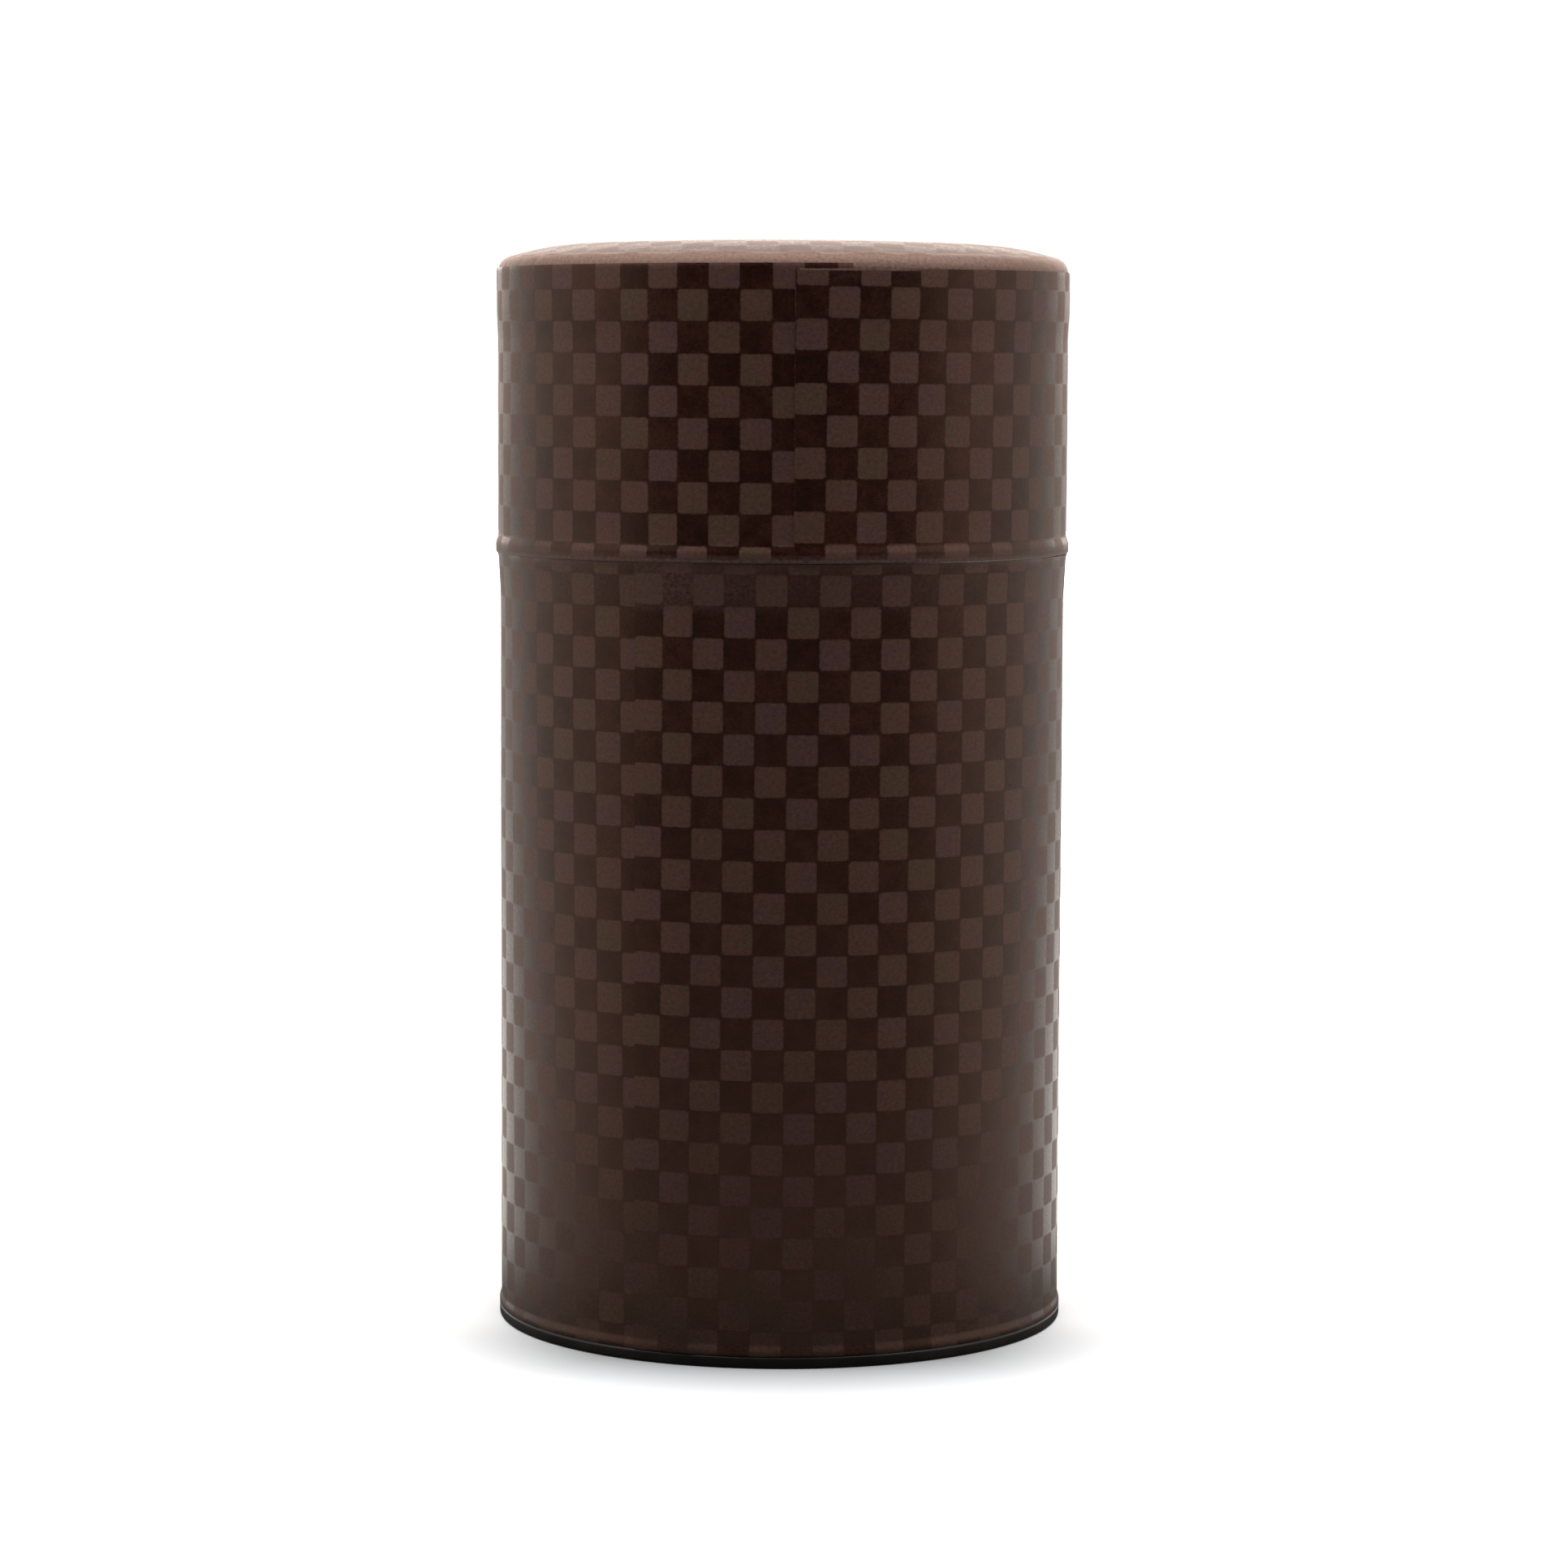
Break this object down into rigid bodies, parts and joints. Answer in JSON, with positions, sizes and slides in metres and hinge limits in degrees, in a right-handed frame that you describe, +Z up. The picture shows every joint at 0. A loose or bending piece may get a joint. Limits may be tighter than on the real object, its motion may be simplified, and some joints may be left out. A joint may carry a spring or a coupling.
{
  "type": "tea caddy",
  "caption": "Round tea caddy: paper-covered tin body, lift-off lid over a bare tin neck, and an inner lid with a knob.",
  "frame": {"origin": "centre of the base, on the surface the caddy stands on", "axes": "+Z up along the caddy's axis, towards the lid; -Y faces the front view"},
  "size_m": [0.0826, 0.0826, 0.1555],
  "materials": {
    "printed_washi": "satin",
    "tinplate": "polished",
    "black_lacquered_tin": "gloss",
    "plated_knob": "polished"
  },
  "bodies": {
    "body": {"body_tube": "tinplate", "base_plate": "black_lacquered_tin", "neck_sleeve": "tinplate", "body_paper": "printed_washi"},
    "lid": {"lid_tube": "tinplate", "lid_top_plate": "tinplate", "lid_top_paper": "printed_washi", "lid_side_paper": "printed_washi"},
    "inner_lid": {"inner_lid": "tinplate", "inner_lid_knob": "plated_knob", "knob_rivet": "tinplate"}
  },
  "joints": [
    {"name": "lid_lift", "type": "slide", "parent": "body", "child": "lid", "axis": [0, 0, 1], "range_m": [0, 0.12]},
    {"name": "inner_lid_lift", "type": "slide", "parent": "body", "child": "inner_lid", "axis": [0, 0, 1], "range_m": [0, 0.06]}
  ],
  "couplings": [
    {"joint": "inner_lid_lift", "follows": "lid_lift", "ratio": 0.5}
  ]
}
